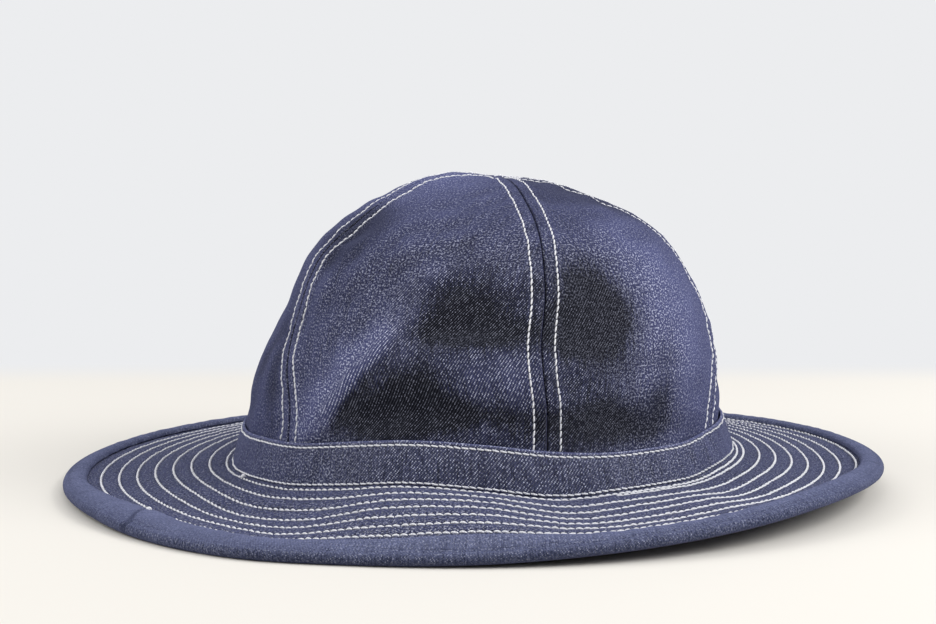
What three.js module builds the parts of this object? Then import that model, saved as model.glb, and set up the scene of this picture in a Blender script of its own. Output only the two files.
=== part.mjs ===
// A soft denim field hat: six crown gores, a band, a brim and the binding round its edge.
// Millimetres, +Z up, front towards -Y. The table is z = 0 and lies under the middle of the rim.
import * as THREE from "three";

// Driving sizes
const headGirth = 588; // round the inside of the opening
const crownHeight = 108.4; // from the foot of the gores to the top of the crown
const rimRadius = 163; // to the sides, seen from above
const rimReach = 151.6; // to the front and back, where the brim droops
const brimRise = 13.5; // how far the highest wave of the brim stands over its resting arcs
const bandRise = 15.2; // greatest height of the band over the brim
const bandFlare = 4.2; // how much further out the band's foot stands than its top
const goreWall = 1.4;
const bandWall = 1.2;
const brimWall = 1.8;
const bindingWall = 1;
const clearance = 0.3; // between neighbouring pieces
const bandClearance = 0.6; // round the crown, whose cloth isn't quite round
const crownShift = 3.7; // the crown stands this far to the wearer's left of the rim's middle
const tipRadius = 1.2; // where the six gores end round the top of the crown
const dentDepth = 3; // of the deepest hollow in the crown

// Sizes that follow from them
const headRadius = headGirth / (2 * Math.PI);
const crownRadius = headRadius + goreWall;
const stackHalf = brimWall / 2 + clearance + bindingWall; // half the thickness of the bound edge
const brimEdge = rimRadius - stackHalf; // the binding's nose bends round this radius
const footShare = 0.68; // mean height of the brim at the gores' foot, as a share of brimRise
const footLevel = stackHalf + footShare * brimRise + brimWall / 2 + clearance; // mean foot of the gores
const bandFootRadius = crownRadius + bandClearance + bandFlare;

// Shapes of the curves
const flarePower = 1.3; // over 1, the band bends outwards towards its foot
const droopPower = 4; // the higher, the nearer to the edge the brim starts to droop
const settleShare = 0.5; // below this level the crown follows the waves of the brim
const dentFade = { none: 0.5, full: 1.4 }; // where dents begin and are whole, in heights of the band's top
const nudgeShare = 0.01; // step along a curve over which its slope is taken

// Fineness of the facets
const steps = 72; // round the hat
const goreAcross = 12;
const goreUp = 12;
const brimOut = 6; // from the opening to the binding
const hemOut = 3; // under the binding
const bandUp = 3;
const noseSteps = 4;

// The crown from its foot to its top: height and radius are shares of crownHeight and crownRadius,
// right and back say how far the ring's middle has moved, as shares of crownRadius.
const crownRings = [
  { height: 0, radius: 1, right: 0, back: 0 },
  { height: 0.17, radius: 0.995, right: 0, back: 0 },
  { height: 0.34, radius: 0.966, right: 0.017, back: 0 },
  { height: 0.44, radius: 0.924, right: 0.036, back: 0 },
  { height: 0.54, radius: 0.876, right: 0.048, back: 0.005 },
  { height: 0.66, radius: 0.811, right: 0.045, back: 0.01 },
  { height: 0.74, radius: 0.755, right: 0.042, back: 0.02 },
  { height: 0.81, radius: 0.68, right: 0.042, back: 0.03 },
  { height: 0.877, radius: 0.567, right: 0.04, back: 0.045 },
  { height: 0.935, radius: 0.422, right: 0.04, back: 0.06 },
  { height: 0.966, radius: 0.326, right: 0.042, back: 0.07 },
  { height: 0.99, radius: 0.194, right: 0.045, back: 0.085 },
  { height: 0.993, radius: 0, right: 0.048, back: 0.1 },
];

// The seams between the gores: azimuths in degrees at some levels of the crown, from 0 at the foot to 1
// at the top. Azimuth 0 is the front, 90 the +X side.
const seamLevels = { foot: 0, low: 0.15, dip: 0.32, waist: 0.45, high: 0.7, crest: 1 };
const seams = [
  { name: "left", foot: -51, low: -50, dip: -62, waist: -66, high: -66, crest: -66 },
  { name: "front", foot: 13, low: 13.6, dip: 11, waist: 13.2, high: 16.3, crest: 20 },
  { name: "right", foot: 62, low: 69, dip: 77, waist: 80, high: 83, crest: 84 },
  { name: "back right", foot: 125, low: 126, dip: 128, waist: 129, high: 130, crest: 130 },
  { name: "back", foot: 186, low: 186, dip: 187, waist: 187, high: 188, crest: 188 },
  { name: "back left", foot: 247, low: 246, dip: 245, waist: 244, high: 243, crest: 243 },
];

// Hollows and swells of the crown: azimuth and spread in degrees, level and reach as shares of the way
// up the crown, depth as a share of dentDepth (a swell is less than zero), slant as the degrees that
// the fold moves round the crown from its foot to its top.
const crownDents = [
  { name: "ridge on the left front gore", azimuth: -37, spread: 6, level: 0.18, reach: 0.16, slant: 60, depth: -0.7 },
  { name: "hollow beside that ridge", azimuth: -19, spread: 10, level: 0.15, reach: 0.09, slant: 60, depth: 1 },
  { name: "swell left of the front seam", azimuth: -6, spread: 9, level: 0.25, reach: 0.07, slant: 0, depth: -0.5 },
  { name: "hollow over that swell", azimuth: -9, spread: 10, level: 0.38, reach: 0.06, slant: 0, depth: 0.6 },
  { name: "hollow right of the front seam", azimuth: 27, spread: 9, level: 0.38, reach: 0.08, slant: 0, depth: 0.9 },
  { name: "swell of the right front gore", azimuth: 50, spread: 14, level: 0.4, reach: 0.2, slant: 0, depth: -0.5 },
  { name: "hollow over the band", azimuth: 28, spread: 13, level: 0.12, reach: 0.05, slant: 0, depth: 0.7 },
  { name: "pinch of the left seam", azimuth: -58, spread: 8, level: 0.6, reach: 0.06, slant: 0, depth: 0.9 },
  { name: "full left side of the top", azimuth: -85, spread: 45, level: 0.86, reach: 0.1, slant: 0, depth: -0.7 },
  { name: "flat right side of the top", azimuth: 75, spread: 40, level: 0.8, reach: 0.12, slant: 0, depth: 0.5 },
  { name: "soft back of the crown", azimuth: 170, spread: 25, level: 0.4, reach: 0.15, slant: 30, depth: 0.8 },
  { name: "soft back left gore", azimuth: 225, spread: 18, level: 0.25, reach: 0.12, slant: -40, depth: 0.7 },
];

// The brim in sections round the hat: heights of its middle surface over its resting height, as shares
// of brimRise, at the stations below. droop says how far the rim is drawn in from rimRadius (0) towards
// rimReach (1), and band is the height of the band as a share of bandRise.
const brimSections = [
  { azimuth: -78, foot: 0.28, near: 0.33, middle: 0.23, far: 0.09, hem: 0.05, edge: 0.06, droop: 0, band: 1 },
  { azimuth: -60, foot: 0.43, near: 0.34, middle: 0.2, far: 0.06, hem: 0.05, edge: 0.11, droop: 0.03, band: 1 },
  { azimuth: -45, foot: 0.57, near: 0.36, middle: 0.03, far: 0, hem: 0, edge: 0.01, droop: 0.07, band: 1 },
  { azimuth: -30, foot: 0.81, near: 0.59, middle: 0.22, far: 0.03, hem: 0.01, edge: 0, droop: 0.22, band: 1 },
  { azimuth: -15, foot: 0.96, near: 0.91, middle: 0.74, far: 0.45, hem: 0.23, edge: 0, droop: 0.79, band: 0.97 },
  { azimuth: 0, foot: 0.83, near: 0.86, middle: 0.81, far: 0.64, hem: 0.42, edge: 0.06, droop: 1, band: 1 },
  { azimuth: 15, foot: 0.63, near: 0.56, middle: 0.45, far: 0.4, hem: 0.35, edge: 0.21, droop: 0.93, band: 1 },
  { azimuth: 28, foot: 0.67, near: 0.59, middle: 0.52, far: 0.43, hem: 0.43, edge: 0.37, droop: 0.74, band: 0.86 },
  { azimuth: 40, foot: 0.68, near: 0.57, middle: 0.56, far: 0.5, hem: 0.49, edge: 0.52, droop: 0.54, band: 0.84 },
  { azimuth: 50, foot: 0.68, near: 0.52, middle: 0.44, far: 0.43, hem: 0.49, edge: 0.63, droop: 0.36, band: 0.84 },
  { azimuth: 62, foot: 0.81, near: 0.59, middle: 0.54, far: 0.43, hem: 0.46, edge: 0.67, droop: 0.15, band: 0.85 },
  { azimuth: 85, foot: 0.8, near: 0.63, middle: 0.5, far: 0.37, hem: 0.39, edge: 0.48, droop: 0, band: 0.9 },
  { azimuth: 105, foot: 0.74, near: 0.63, middle: 0.51, far: 0.41, hem: 0.37, edge: 0.37, droop: 0, band: 0.95 },
  { azimuth: 130, foot: 0.7, near: 0.61, middle: 0.48, far: 0.35, hem: 0.26, edge: 0.2, droop: 0.25, band: 1 },
  { azimuth: 155, foot: 0.66, near: 0.56, middle: 0.4, far: 0.23, hem: 0.09, edge: 0, droop: 0.8, band: 1 },
  { azimuth: 180, foot: 0.63, near: 0.52, middle: 0.34, far: 0.19, hem: 0.07, edge: 0, droop: 1, band: 1 },
  { azimuth: 220, foot: 0.6, near: 0.46, middle: 0.29, far: 0.16, hem: 0.06, edge: 0, droop: 0.45, band: 1 },
  { azimuth: 255, foot: 0.42, near: 0.37, middle: 0.24, far: 0.11, hem: 0.05, edge: 0, droop: 0, band: 1 },
];

// Where the heights are measured, as shares of the way from the opening to the brim's own edge.
const brimStations = { foot: 0.05, near: 0.23, middle: 0.43, far: 0.64, hem: 0.79, edge: 0.9 };

// Width of the binding, above and below, as shares of the way from the brim's edge to the opening.
const hemWidths = [
  { azimuth: -77, width: 0.1 },
  { azimuth: -63, width: 0.17 },
  { azimuth: -56, width: 0.235 },
  { azimuth: -48, width: 0.24 },
  { azimuth: -20, width: 0.21 },
  { azimuth: 5, width: 0.22 },
  { azimuth: 30, width: 0.18 },
  { azimuth: 55, width: 0.16 },
  { azimuth: 75, width: 0.11 },
  { azimuth: 180, width: 0.1 },
];

const radians = (degrees) => (degrees * Math.PI) / 180;

// Smooth curve through knots [{ at, value }] in rising order, and the same for a closed round of 360.
function curveAt(knots, x) {
  const last = knots.length - 1;
  let i = 0;
  while (i < last - 1 && x > knots[i + 1].at) i++;
  const slope = (k) => {
    const a = knots[Math.max(k - 1, 0)];
    const b = knots[Math.min(k + 1, last)];
    return (b.value - a.value) / (b.at - a.at);
  };
  const [p, q] = [knots[i], knots[i + 1]];
  const span = q.at - p.at;
  const t = (x - p.at) / span;
  const [t2, t3] = [t * t, t * t * t];
  return (
    (2 * t3 - 3 * t2 + 1) * p.value +
    (t3 - 2 * t2 + t) * span * slope(i) +
    (3 * t2 - 2 * t3) * q.value +
    (t3 - t2) * span * slope(i + 1)
  );
}

function roundAt(rows, column, azimuth) {
  const first = rows[0].azimuth;
  const turned = first + ((((azimuth - first) % 360) + 360) % 360);
  const knots = [-1, 0, 1].flatMap((turn) =>
    rows.map((row) => ({ at: row.azimuth + 360 * turn, value: row[column] })),
  );
  return curveAt(knots, turned);
}

// How far apart two azimuths are, from -180 to 180 degrees.
const turnBetween = (a, b) => ((((a - b) % 360) + 540) % 360) - 180;

// The rings' places along the crown's arc, from 0 at the foot to 1 at the top.
const ringPlaces = crownRings.map(() => 0);
for (let i = 1; i < crownRings.length; i++) {
  const rise = (crownRings[i].height - crownRings[i - 1].height) * crownHeight;
  const run = (crownRings[i].radius - crownRings[i - 1].radius) * crownRadius;
  ringPlaces[i] = ringPlaces[i - 1] + Math.hypot(rise, run);
}
const crownArc = ringPlaces[ringPlaces.length - 1];
const ringCurve = (column) => crownRings.map((ring, i) => ({ at: ringPlaces[i] / crownArc, value: ring[column] }));
const ringCurves = {
  height: ringCurve("height"),
  radius: ringCurve("radius"),
  right: ringCurve("right"),
  back: ringCurve("back"),
};
const ringAt = (column, level) => curveAt(ringCurves[column], level);

// Depth of all the crown's dents at one place; they die out under the band.
function dentAt(azimuth, level) {
  const bandTop = (bandRise + 2 * bandWall) / crownArc;
  const freedom = THREE.MathUtils.smoothstep(level, dentFade.none * bandTop, dentFade.full * bandTop);
  return (
    freedom *
    dentDepth *
    crownDents.reduce((sum, dent) => {
      const round = turnBetween(azimuth, dent.azimuth + dent.slant * (level - dent.level)) / dent.spread;
      const up = (level - dent.level) / dent.reach;
      return sum + dent.depth * Math.exp(-(round * round + up * up) / 2);
    }, 0)
  );
}

// Height of the brim's middle surface at a share of the way from the opening to the edge.
function brimHeight(azimuth, share) {
  const names = Object.keys(brimStations);
  const knots = names.map((name) => ({ at: brimStations[name], value: roundAt(brimSections, name, azimuth) }));
  const place = THREE.MathUtils.clamp(share, brimStations.foot, brimStations.edge);
  return stackHalf + brimRise * Math.max(0, curveAt(knots, place));
}

const brimShare = (radius) => (radius - headRadius) / (brimEdge - headRadius);

// Distance from the middle of the ring at a share; the droop draws the outer rings in.
function brimReach(azimuth, share) {
  const droop = Math.max(0, roundAt(brimSections, "droop", azimuth));
  const drawnIn = droop * share ** droopPower * (rimRadius - rimReach);
  return headRadius + share * (brimEdge - headRadius) - drawnIn;
}

// Point out and up from the brim's middle surface. The rings' middle moves from the crown's to the rim's.
function brimPoint(azimuth, share, out, up) {
  const angle = radians(azimuth);
  const reach = brimReach(azimuth, share) + out;
  const middle = crownShift * (1 - share);
  return new THREE.Vector3(
    middle + reach * Math.sin(angle),
    -reach * Math.cos(angle),
    brimHeight(azimuth, share) + up,
  );
}

const brimTop = (azimuth, radius) => brimHeight(azimuth, brimShare(radius)) + brimWall / 2;

// Point of a gore at a level from 0 to 1, sunk under the outer surface by inset.
function crownPoint(azimuth, level, inset) {
  const [low, high] = [Math.max(level - nudgeShare, 0), Math.min(level + nudgeShare, 1)];
  const rise = (ringAt("height", high) - ringAt("height", low)) * crownHeight;
  const run = (ringAt("radius", high) - ringAt("radius", low)) * crownRadius;
  const sunk = inset + dentAt(azimuth, level);
  const outward = rise / Math.hypot(rise, run);
  const upward = -run / Math.hypot(rise, run);
  const foot = brimTop(azimuth, crownRadius) + clearance;
  const settle = (1 - THREE.MathUtils.smoothstep(level, 0, settleShare)) * (foot - footLevel);
  const radius = ringAt("radius", level) * crownRadius - sunk * outward;
  const angle = radians(azimuth);
  return new THREE.Vector3(
    crownShift + ringAt("right", level) * crownRadius + radius * Math.sin(angle),
    ringAt("back", level) * crownRadius - radius * Math.cos(angle),
    footLevel + ringAt("height", level) * crownHeight + settle - sunk * upward,
  );
}

// Azimuth of a seam at a level.
function seamAt(seam, level) {
  const knots = Object.entries(seamLevels).map(([name, at]) => ({ at, value: seam[name] }));
  return curveAt(knots, level);
}

// Indexed geometry from points and four-cornered faces. Each face is split along its shorter diagonal, so
// that two sheets which lie over each other are split alike.
function solid(points, faces) {
  const corners = faces.flatMap(([a, b, c, d]) =>
    points[a].distanceTo(points[c]) <= points[b].distanceTo(points[d]) ? [a, b, c, a, c, d] : [a, b, d, b, c, d],
  );
  const geometry = new THREE.BufferGeometry().setFromPoints(points);
  geometry.setIndex(corners);
  geometry.computeVertexNormals();
  return geometry;
}

// A closed ring: section(azimuth) lists the corners of the cross-section, all at one azimuth.
function ringSolid(section) {
  const sections = Array.from({ length: steps }, (_, i) => section((360 * i) / steps));
  const size = sections[0].length;
  const faces = [];
  for (let i = 0; i < steps; i++) {
    for (let k = 0; k < size; k++) {
      const [here, next] = [i * size, ((i + 1) % steps) * size];
      const after = (k + 1) % size;
      faces.push([here + k, next + k, next + after, here + after]);
    }
  }
  return solid(sections.flat(), faces);
}

// A sheet with a wall: place(across, up, side) gives a corner, side 0 outside and 1 inside.
function sheetSolid(across, up, place) {
  const points = [];
  for (const side of [0, 1])
    for (let j = 0; j <= up; j++) for (let i = 0; i <= across; i++) points.push(place(i / across, j / up, side));
  const at = (i, j, side) => (side * (up + 1) + j) * (across + 1) + i;
  const faces = [];
  for (let j = 0; j < up; j++) {
    for (let i = 0; i < across; i++) {
      faces.push([at(i, j, 0), at(i + 1, j, 0), at(i + 1, j + 1, 0), at(i, j + 1, 0)]);
      faces.push([at(i, j, 1), at(i, j + 1, 1), at(i + 1, j + 1, 1), at(i + 1, j, 1)]);
    }
    faces.push([at(0, j, 0), at(0, j + 1, 0), at(0, j + 1, 1), at(0, j, 1)]);
    faces.push([at(across, j, 0), at(across, j, 1), at(across, j + 1, 1), at(across, j + 1, 0)]);
  }
  for (let i = 0; i < across; i++) {
    faces.push([at(i, 0, 0), at(i, 0, 1), at(i + 1, 0, 1), at(i + 1, 0, 0)]);
    faces.push([at(i, up, 0), at(i + 1, up, 0), at(i + 1, up, 1), at(i, up, 1)]);
  }
  return solid(points, faces);
}

// One gore, from a seam round to the next, with half the clearance left at each.
function gore(seam, nextSeam) {
  const lap = nextSeam.foot < seam.foot ? 360 : 0;
  const tipLevel = 1 - tipRadius / crownArc;
  return sheetSolid(goreAcross, goreUp, (across, up, side) => {
    const level = tipLevel * up;
    const radius = Math.max(ringAt("radius", level) * crownRadius, tipRadius);
    const margin = THREE.MathUtils.radToDeg(clearance / 2 / radius);
    const start = seamAt(seam, level) + margin;
    const end = seamAt(nextSeam, level) + lap - margin;
    return crownPoint(start + (end - start) * across, level, side * goreWall);
  });
}

// The band: it leans against the crown at its top and flares out over the brim at its foot.
function band() {
  const bandCorner = (azimuth, up, inset) => {
    const angle = radians(azimuth);
    const rise = up * roundAt(brimSections, "band", azimuth) * bandRise;
    const crown = crownPoint(azimuth, rise / crownArc, 0);
    const flare = bandFlare * (1 - up) ** flarePower;
    const out = bandClearance + flare + bandWall - inset;
    const foot = brimTop(azimuth, bandFootRadius + bandWall / 2) + clearance;
    return new THREE.Vector3(crown.x + out * Math.sin(angle), crown.y - out * Math.cos(angle), foot + rise);
  };
  const ups = Array.from({ length: bandUp + 1 }, (_, i) => i / bandUp);
  return ringSolid((azimuth) => [
    ...ups.map((up) => bandCorner(azimuth, up, 0)),
    ...ups.toReversed().map((up) => bandCorner(azimuth, up, bandWall)),
  ]);
}

// Shares of the brim's facets under the binding, from the binding's free edge to the brim's edge.
function hemShares(azimuth) {
  const width = roundAt(hemWidths, "width", azimuth);
  return Array.from({ length: hemOut + 1 }, (_, i) => 1 - width * (1 - i / hemOut));
}

// Points at some shares of the brim, raised square to its middle surface.
function brimRow(azimuth, shares, raised) {
  return shares.map((share) => {
    const run = brimReach(azimuth, share + nudgeShare) - brimReach(azimuth, share);
    const rise = brimHeight(azimuth, share + nudgeShare) - brimHeight(azimuth, share);
    const slope = Math.hypot(run, rise);
    return brimPoint(azimuth, share, (-raised * rise) / slope, (raised * run) / slope);
  });
}

// The brim: one stitched cloth plate from the opening to the fold of the binding.
function brim() {
  return ringSolid((azimuth) => {
    const hem = hemShares(azimuth);
    const open = Array.from({ length: brimOut }, (_, i) => (hem[0] * i) / brimOut);
    const shares = [...open, ...hem];
    return [...brimRow(azimuth, shares, -brimWall / 2), ...brimRow(azimuth, shares, brimWall / 2).toReversed()];
  });
}

// The binding: a strip folded round the brim's edge.
function binding() {
  const turns = Array.from({ length: noseSteps - 1 }, (_, i) => Math.PI * ((i + 1) / noseSteps - 0.5));
  return ringSolid((azimuth) => {
    const shares = hemShares(azimuth);
    const face = (half) => [
      ...brimRow(azimuth, shares, -half),
      ...turns.map((turn) => brimPoint(azimuth, 1, half * Math.cos(turn), half * Math.sin(turn))),
      ...brimRow(azimuth, shares, half).toReversed(),
    ];
    return [...face(stackHalf), ...face(stackHalf - bindingWall).toReversed()];
  });
}

// Raw indigo denim, a little deeper where the weave is seen face on.
function piece(name, geometry, colour) {
  const mesh = new THREE.Mesh(
    geometry,
    new THREE.MeshStandardMaterial({ color: colour, roughness: 0.9, metalness: 0 }),
  );
  mesh.name = name;
  return mesh;
}

const crownColour = 0x464a6a;
const brimColour = 0x4a5072;

const hat = new THREE.Group();
hat.name = "field_hat";
seams.forEach((seam, i) => {
  hat.add(piece(`gore_${i + 1}`, gore(seam, seams[(i + 1) % seams.length]), crownColour));
});
hat.add(piece("band", band(), brimColour));
hat.add(piece("brim", brim(), brimColour));
hat.add(piece("binding", binding(), brimColour));

export default hat;
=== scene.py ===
# %% [markdown]
# # A denim field hat
#
# This script dresses the CAD hat in cloth: six crown gores, a flared band, a wavy brim with rows of white
# stitches and a broad bound hem. Each surface is worked out from the same sizes and tables as the CAD part,
# only much finer, and then gets what cloth has: seam ridges, grooves under the stitches, puckers and weave.
# Azimuth 0 is the front of the hat (-Y) and 90 is +X. Sizes are in millimetres until a mesh is made.

# %% Load the frame
import math

import bpy
import numpy as np
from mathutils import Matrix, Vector


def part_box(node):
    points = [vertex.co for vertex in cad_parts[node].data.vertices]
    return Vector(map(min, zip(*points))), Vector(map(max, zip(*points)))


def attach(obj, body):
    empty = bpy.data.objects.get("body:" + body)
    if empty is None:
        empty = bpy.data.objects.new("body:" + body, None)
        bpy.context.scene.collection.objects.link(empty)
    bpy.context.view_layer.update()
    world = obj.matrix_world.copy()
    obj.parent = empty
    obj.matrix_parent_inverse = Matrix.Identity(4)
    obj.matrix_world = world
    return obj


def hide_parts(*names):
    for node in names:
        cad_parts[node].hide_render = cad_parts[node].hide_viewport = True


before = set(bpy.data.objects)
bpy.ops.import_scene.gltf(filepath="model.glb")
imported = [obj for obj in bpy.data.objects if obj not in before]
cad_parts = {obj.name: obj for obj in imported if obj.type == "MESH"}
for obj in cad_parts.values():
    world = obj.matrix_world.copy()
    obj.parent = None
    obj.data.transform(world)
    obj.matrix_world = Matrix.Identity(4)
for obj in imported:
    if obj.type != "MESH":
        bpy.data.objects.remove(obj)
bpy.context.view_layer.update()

# %% [markdown]
# ## Sizes
#
# The rim's width and reach come from the frame. The rest are the CAD part's own driving sizes.

# %% Driving sizes
MM = 0.001
RIM_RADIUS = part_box("binding")[1].x / MM
RIM_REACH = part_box("binding")[1].y / MM
HEAD_GIRTH = 588
CROWN_HEIGHT = 108.4
BRIM_RISE = 13.5
BAND_RISE = 15.2
BAND_FLARE = 4.2
GORE_WALL = 1.4
BAND_WALL = 1.2
BRIM_WALL = 1.8
BINDING_WALL = 1
CLEARANCE = 0.3
BAND_CLEARANCE = 0.6
CROWN_SHIFT = 3.7
DENT_DEPTH = 3

HEAD_RADIUS = HEAD_GIRTH / (2 * math.pi)
CROWN_RADIUS = HEAD_RADIUS + GORE_WALL
STACK_HALF = BRIM_WALL / 2 + CLEARANCE + BINDING_WALL
BRIM_EDGE = RIM_RADIUS - STACK_HALF
FOOT_SHARE = 0.68
FOOT_LEVEL = STACK_HALF + FOOT_SHARE * BRIM_RISE + BRIM_WALL / 2 + CLEARANCE
BAND_FOOT_RADIUS = CROWN_RADIUS + BAND_CLEARANCE + BAND_FLARE

FLARE_POWER = 1.3
DROOP_POWER = 4
SETTLE_SHARE = 0.5
DENT_FADE = (0.5, 1.4)
NUDGE_SHARE = 0.01
BEND_SHARE = 0.04  # wide enough for the hem to bend smoothly where the brim levels out

# %% [markdown]
# Tables: a row per ring, seam, dent or section. Heights, radii and depths are shares of the sizes above.

# %% Crown tables
CROWN_RINGS = dict(
    height=[0, 0.17, 0.34, 0.44, 0.54, 0.66, 0.74, 0.81, 0.877, 0.935, 0.966, 0.99, 0.993],
    radius=[1, 0.995, 0.966, 0.924, 0.876, 0.811, 0.755, 0.68, 0.567, 0.422, 0.326, 0.194, 0],
    right=[0, 0, 0.017, 0.036, 0.048, 0.045, 0.042, 0.042, 0.04, 0.04, 0.042, 0.045, 0.048],
    back=[0, 0, 0, 0, 0.005, 0.01, 0.02, 0.03, 0.045, 0.06, 0.07, 0.085, 0.1],
)

# Seams between the gores: azimuths at these levels, from the foot to the top.
SEAM_LEVELS = (0, 0.15, 0.32, 0.45, 0.7, 1)
SEAMS = {
    "left": (-51, -50, -62, -66, -66, -66),
    "front": (13, 13.6, 11, 13.2, 16.3, 20),
    "right": (62, 69, 77, 80, 83, 84),
    "back_right": (125, 126, 128, 129, 130, 130),
    "back": (186, 186, 187, 187, 188, 188),
    "back_left": (247, 246, 245, 244, 243, 243),
}

# Hollows (depth over zero) and swells (under zero) of the crown. Azimuth, spread and slant in degrees.
CROWN_DENTS = [
    # azimuth, spread, level, reach, slant, depth
    (-37, 6, 0.18, 0.16, 60, -0.7),
    (-19, 10, 0.15, 0.09, 60, 1),
    (-6, 9, 0.25, 0.07, 0, -0.5),
    (-9, 10, 0.38, 0.06, 0, 0.6),
    (27, 9, 0.38, 0.08, 0, 0.9),
    (50, 14, 0.4, 0.2, 0, -0.5),
    (28, 13, 0.12, 0.05, 0, 0.7),
    (-58, 8, 0.6, 0.06, 0, 0.9),
    (-85, 45, 0.86, 0.1, 0, -0.7),
    (75, 40, 0.8, 0.12, 0, 0.5),
    (170, 25, 0.4, 0.15, 30, 0.8),
    (225, 18, 0.25, 0.12, -40, 0.7),
]

# Creases that are too fine for the CAD part, in the same columns, with depths as shares of CREASE_DEPTH.
CREASE_DEPTH = 1
CREASES = [
    # azimuth, spread, level, reach, slant, depth
    (-32, 2, 0.18, 0.09, 60, 0.8),
    (-37, 2, 0.19, 0.09, 60, -0.7),
    (-4, 9, 0.345, 0.022, 0, 0.6),
    (20, 6, 0.35, 0.03, 0, 0.5),
    (-8, 12, 0.155, 0.02, 0, 0.6),
    (-57, 2, 0.6, 0.04, 40, 0.5),
    (-62, 2.5, 0.2, 0.07, -40, 0.5),
    (-74, 3, 0.27, 0.08, 20, 0.5),
    (44, 3, 0.2, 0.1, 30, 0.5),
    (150, 3, 0.25, 0.1, 40, 0.5),
    (210, 3, 0.3, 0.12, -30, 0.5),
]

# %% Brim tables
STATIONS = dict(foot=0.05, near=0.23, middle=0.43, far=0.64, hem=0.79, edge=0.9)
BRIM_COLUMNS = (*STATIONS, "droop", "band")
BRIM_SECTIONS = {
    # azimuth: heights at the stations, droop of the rim, height of the band
    -78: (0.28, 0.33, 0.23, 0.09, 0.05, 0.06, 0, 1),
    -60: (0.43, 0.34, 0.2, 0.06, 0.05, 0.11, 0.03, 1),
    -45: (0.57, 0.36, 0.03, 0, 0, 0.01, 0.07, 1),
    -30: (0.81, 0.59, 0.22, 0.03, 0.01, 0, 0.22, 1),
    -15: (0.96, 0.91, 0.74, 0.45, 0.23, 0, 0.79, 0.97),
    0: (0.83, 0.86, 0.81, 0.64, 0.42, 0.06, 1, 1),
    15: (0.63, 0.56, 0.45, 0.4, 0.35, 0.21, 0.93, 1),
    28: (0.67, 0.59, 0.52, 0.43, 0.43, 0.37, 0.74, 0.86),
    40: (0.68, 0.57, 0.56, 0.5, 0.49, 0.52, 0.54, 0.84),
    50: (0.68, 0.52, 0.44, 0.43, 0.49, 0.63, 0.36, 0.84),
    62: (0.81, 0.59, 0.54, 0.43, 0.46, 0.67, 0.15, 0.85),
    85: (0.8, 0.63, 0.5, 0.37, 0.39, 0.48, 0, 0.9),
    105: (0.74, 0.63, 0.51, 0.41, 0.37, 0.37, 0, 0.95),
    130: (0.7, 0.61, 0.48, 0.35, 0.26, 0.2, 0.25, 1),
    155: (0.66, 0.56, 0.4, 0.23, 0.09, 0, 0.8, 1),
    180: (0.63, 0.52, 0.34, 0.19, 0.07, 0, 1, 1),
    220: (0.6, 0.46, 0.29, 0.16, 0.06, 0, 0.45, 1),
    255: (0.42, 0.37, 0.24, 0.11, 0.05, 0, 0, 1),
}
HEM_WIDTHS = {
    # azimuth: width of the binding, as a share of the brim's span
    -77: 0.1,
    -63: 0.17,
    -56: 0.235,
    -48: 0.24,
    -20: 0.21,
    5: 0.22,
    30: 0.18,
    55: 0.16,
    75: 0.11,
    180: 0.1,
}

# %% [markdown]
# ## Curves
#
# One smooth curve is used for every table: cubic pieces whose slope at a knot is that of the line between
# its two neighbours. The closed version repeats the rows a turn earlier and a turn later.


# %% Curves
WAVE_LENGTHS = (0.7, 1.5)  # of the shortest and the longest ripple, as shares of the length asked for


def smooth(low, high, x):
    """0 below low, 1 above high, and an S-shaped ramp between them."""
    t = np.clip((x - low) / (high - low), 0, 1)
    return t * t * (3 - 2 * t)


def bell(distance, width):
    """1 at no distance, and less and less either way: a bell curve of that width."""
    return np.exp(-((distance / width) ** 2))


def curve(at, values, x):
    """Cubic curve through (at, values), where values may also hold a row of knots for each x."""
    at = np.asarray(at, float)
    values = np.asarray(values, float)
    shape = np.broadcast_shapes(values.shape[:-1], np.shape(x))
    values = np.broadcast_to(values, shape + at.shape)
    x = np.broadcast_to(np.asarray(x, float), shape)
    ends = np.clip(np.arange(len(at))[:, None] + (-1, 1), 0, len(at) - 1)
    slopes = (values[..., ends[:, 1]] - values[..., ends[:, 0]]) / (at[ends[:, 1]] - at[ends[:, 0]])
    i = np.clip(np.searchsorted(at, x, side="right") - 1, 0, len(at) - 2)
    span = at[i + 1] - at[i]
    t = (x - at[i]) / span

    def knot(a, k):
        return np.take_along_axis(a, k[..., None], -1)[..., 0]

    return (
        (2 * t**3 - 3 * t**2 + 1) * knot(values, i)
        + (t**3 - 2 * t**2 + t) * span * knot(slopes, i)
        + (3 * t**2 - 2 * t**3) * knot(values, i + 1)
        + (t**3 - t**2) * span * knot(slopes, i + 1)
    )


def round_curve(table, azimuth):
    """Closed curve through a table {azimuth: value}, in degrees."""
    at = np.array(list(table), float)
    values = np.array(list(table.values()), float)
    turned = at[0] + (np.asarray(azimuth, float) - at[0]) % 360
    return curve(np.concatenate([at - 360, at, at + 360]), np.tile(values, 3), turned)


def ripples(u, v, wave, seed, count=7):
    """Soft random relief about 1 high: a sum of sine waves in random directions, of lengths near wave."""
    rng = np.random.default_rng(seed)
    total = 0
    for _ in range(count):
        turn, phase = rng.uniform(0, 2 * np.pi, 2)
        length = wave * rng.uniform(*WAVE_LENGTHS)
        total = total + np.sin((u * np.cos(turn) + v * np.sin(turn)) * 2 * np.pi / length + phase)
    return total / math.sqrt(count)


print("hem width at the front, in mm:", round(float(round_curve(HEM_WIDTHS, 0) * (BRIM_EDGE - HEAD_RADIUS))))

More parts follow.
